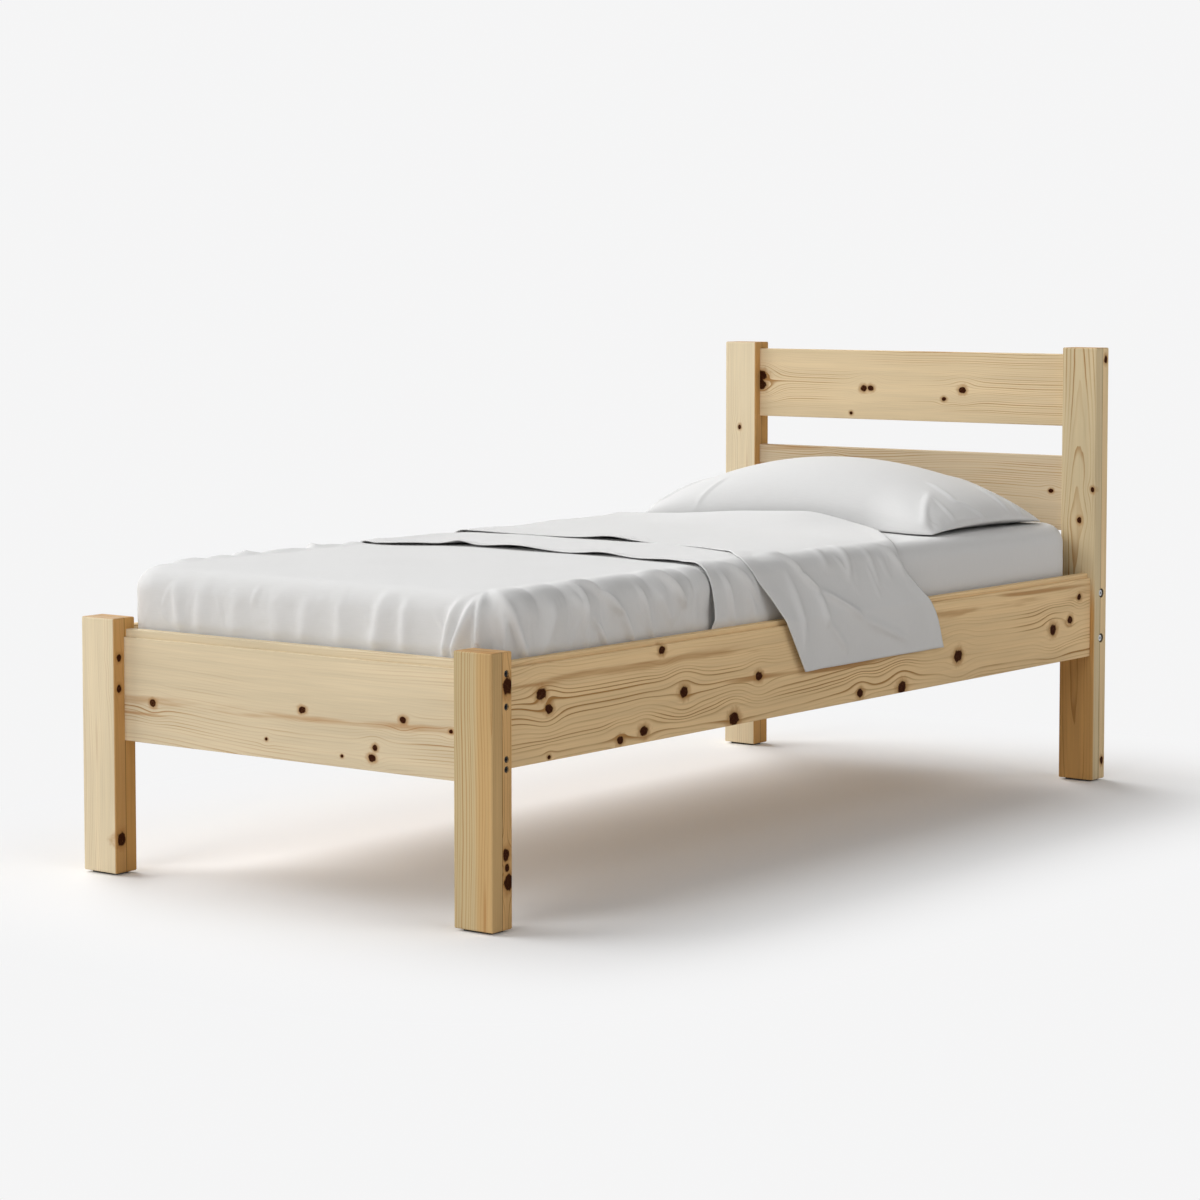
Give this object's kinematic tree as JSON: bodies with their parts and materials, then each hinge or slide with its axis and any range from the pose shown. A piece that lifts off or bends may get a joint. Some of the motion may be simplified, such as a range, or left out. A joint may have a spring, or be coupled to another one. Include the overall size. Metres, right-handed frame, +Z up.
{
  "type": "single bed",
  "caption": "Low single bed of knotty pine with square posts, a plain footboard and a headboard of wide boards, made up with mattress, sheets and pillow.",
  "frame": {"origin": "on the floor, at the middle of the bed's outline in plan", "axes": "+Z up, +Y towards the headboard, +X towards the right side rail"},
  "size_m": [0.976, 2.116, 0.943],
  "materials": {
    "pine": "satin clear lacquer over knotty pine",
    "slat_pine": "planed, unfinished pine",
    "beech": "plain turned dowel",
    "zinc_steel": "bright zinc plate",
    "black_steel": "black oxide",
    "black_plastic": "matt",
    "ticking": "woven ticking",
    "sheet_cotton": "plain woven cotton",
    "blanket_cotton": "plain woven cotton",
    "top_sheet_cotton": "plain woven cotton",
    "cover_cotton": "plain woven cotton",
    "pillowcase_cotton": "plain woven cotton",
    "pillow_filling": "soft wadding"
  },
  "bodies": {
    "frame": {"catch_plate_screws": "zinc_steel", "foot_post_left_inner_ply": "pine", "foot_post_left_outer_ply": "pine", "foot_post_right_inner_ply": "pine", "foot_post_right_outer_ply": "pine", "footboard": "pine", "footboard_barrel_nuts": "zinc_steel", "footboard_bolts": "black_steel", "frame_dowels": "beech", "glide_foot_left": "black_plastic", "glide_foot_right": "black_plastic", "glide_head_left": "black_plastic", "glide_head_right": "black_plastic", "glide_nails": "zinc_steel", "head_post_left_inner_ply": "pine", "head_post_left_outer_ply": "pine", "head_post_right_inner_ply": "pine", "head_post_right_outer_ply": "pine", "headboard_barrel_nuts": "zinc_steel", "headboard_base_rail": "pine", "headboard_bolts": "zinc_steel", "headboard_lower_board": "pine", "headboard_top_board": "pine", "hook_plate_screws": "zinc_steel", "ledger_screws": "zinc_steel", "post_catch_plate_foot_left": "zinc_steel", "post_catch_plate_foot_right": "zinc_steel", "post_catch_plate_head_left": "zinc_steel", "post_catch_plate_head_right": "zinc_steel", "rail_hook_plate_foot_left": "zinc_steel", "rail_hook_plate_foot_right": "zinc_steel", "rail_hook_plate_head_left": "zinc_steel", "rail_hook_plate_head_right": "zinc_steel", "side_rail_left": "pine", "side_rail_right": "pine", "slat_01": "slat_pine", "slat_02": "slat_pine", "slat_03": "slat_pine", "slat_04": "slat_pine", "slat_05": "slat_pine", "slat_06": "slat_pine", "slat_07": "slat_pine", "slat_08": "slat_pine", "slat_09": "slat_pine", "slat_10": "slat_pine", "slat_11": "slat_pine", "slat_12": "slat_pine", "slat_13": "slat_pine", "slat_14": "slat_pine", "slat_ledger_left": "slat_pine", "slat_ledger_right": "slat_pine", "slat_screws": "zinc_steel"},
    "mattress": {"mattress": "ticking", "fitted_sheet": "sheet_cotton"},
    "bedding": {"blanket": "blanket_cotton", "top_sheet": "top_sheet_cotton", "cover": "cover_cotton"},
    "pillow": {"pillow": "pillow_filling", "pillowcase": "pillowcase_cotton"}
  },
  "joints": [
    {"name": "mattress_lift", "type": "slide", "parent": "frame", "child": "mattress", "axis": [0, 0, 1], "range_m": [0, 0.5]},
    {"name": "bedding_lift", "type": "slide", "parent": "mattress", "child": "bedding", "axis": [0, 0, 1], "range_m": [0, 0.4]},
    {"name": "pillow_lift", "type": "slide", "parent": "mattress", "child": "pillow", "axis": [0, 0, 1], "range_m": [0, 0.4]}
  ]
}
